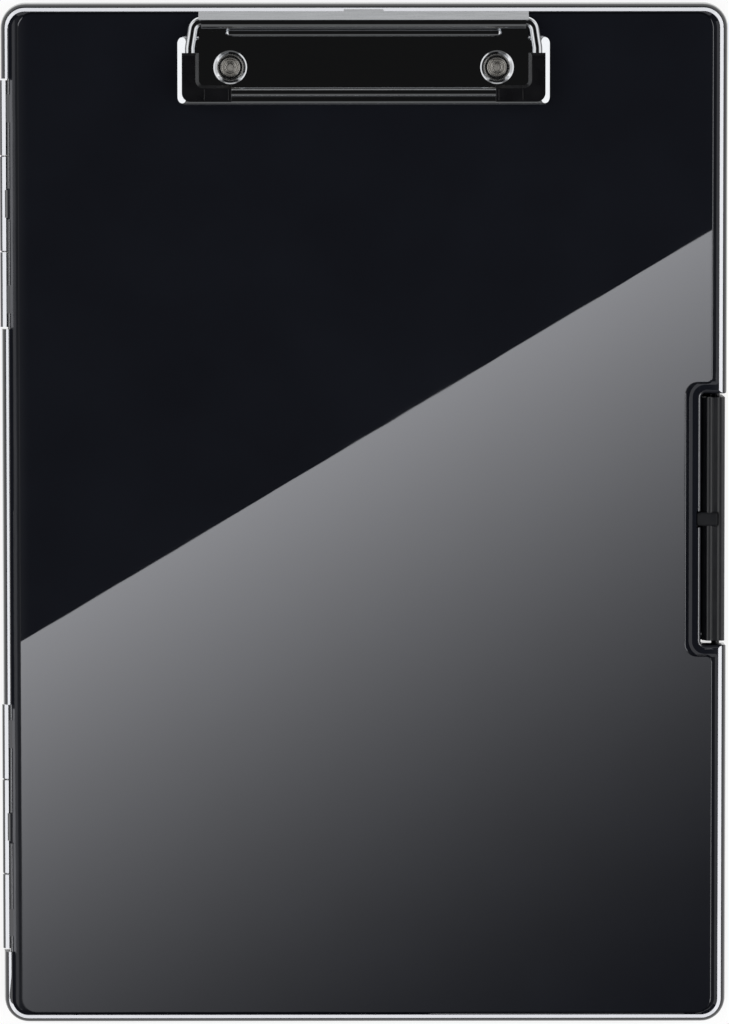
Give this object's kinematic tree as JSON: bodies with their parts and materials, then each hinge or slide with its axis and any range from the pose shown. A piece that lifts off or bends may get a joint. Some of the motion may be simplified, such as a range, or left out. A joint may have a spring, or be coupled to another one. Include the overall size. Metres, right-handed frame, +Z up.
{
  "type": "storage clipboard box",
  "caption": "Shallow moulded storage case for A4 paper, hinged along its left side, with a side snap latch and a low-profile wire clip riveted to its lid.",
  "frame": {"origin": "bottom centre of the case: on the face it rests on, in the middle of its width over the hinge barrels and of its length", "axes": "+X to the latch side, +Y along the length to the clip end, +Z up through the lid"},
  "size_m": [0.231, 0.325, 0.0308],
  "materials": {
    "case_plastic": "glossy injection-moulded polystyrene, black",
    "latch_plastic": "satin moulded polypropylene, black",
    "sleeve_plastic": "satin moulded plastic, black",
    "chrome": "bright nickel-chrome plate on steel",
    "steel": "nickel-plated steel, slightly dull"
  },
  "bodies": {
    "base": {"base_tray": "case_plastic", "hinge_pin_upper": "steel", "hinge_pin_lower": "steel"},
    "lid": {"lid": "case_plastic", "clip_plate": "chrome", "rivet_left": "steel", "rivet_right": "steel", "washer_left": "steel", "washer_right": "steel"},
    "latch": {"side_latch": "latch_plastic"},
    "bail": {"bail_wire": "chrome", "sleeve_left": "sleeve_plastic", "sleeve_right": "sleeve_plastic"}
  },
  "joints": [
    {"name": "lid_hinge", "type": "hinge", "parent": "base", "child": "lid", "pos_m": [-0.1129, 0, 0.0165], "axis": [0, -1, 0], "range_deg": [0, 175]},
    {"name": "latch_pivot", "type": "hinge", "parent": "base", "child": "latch", "pos_m": [0.1128, -0.0013, 0.0034], "axis": [0, 1, 0], "range_deg": [0, 90]},
    {"name": "bail_pivot", "type": "hinge", "parent": "lid", "child": "bail", "pos_m": [0, 0.15643, 0.02783], "axis": [-1, 0, 0], "range_deg": [0, 60], "stiffness_Nm_per_rad": 0.3, "springref_deg": -28.65}
  ]
}
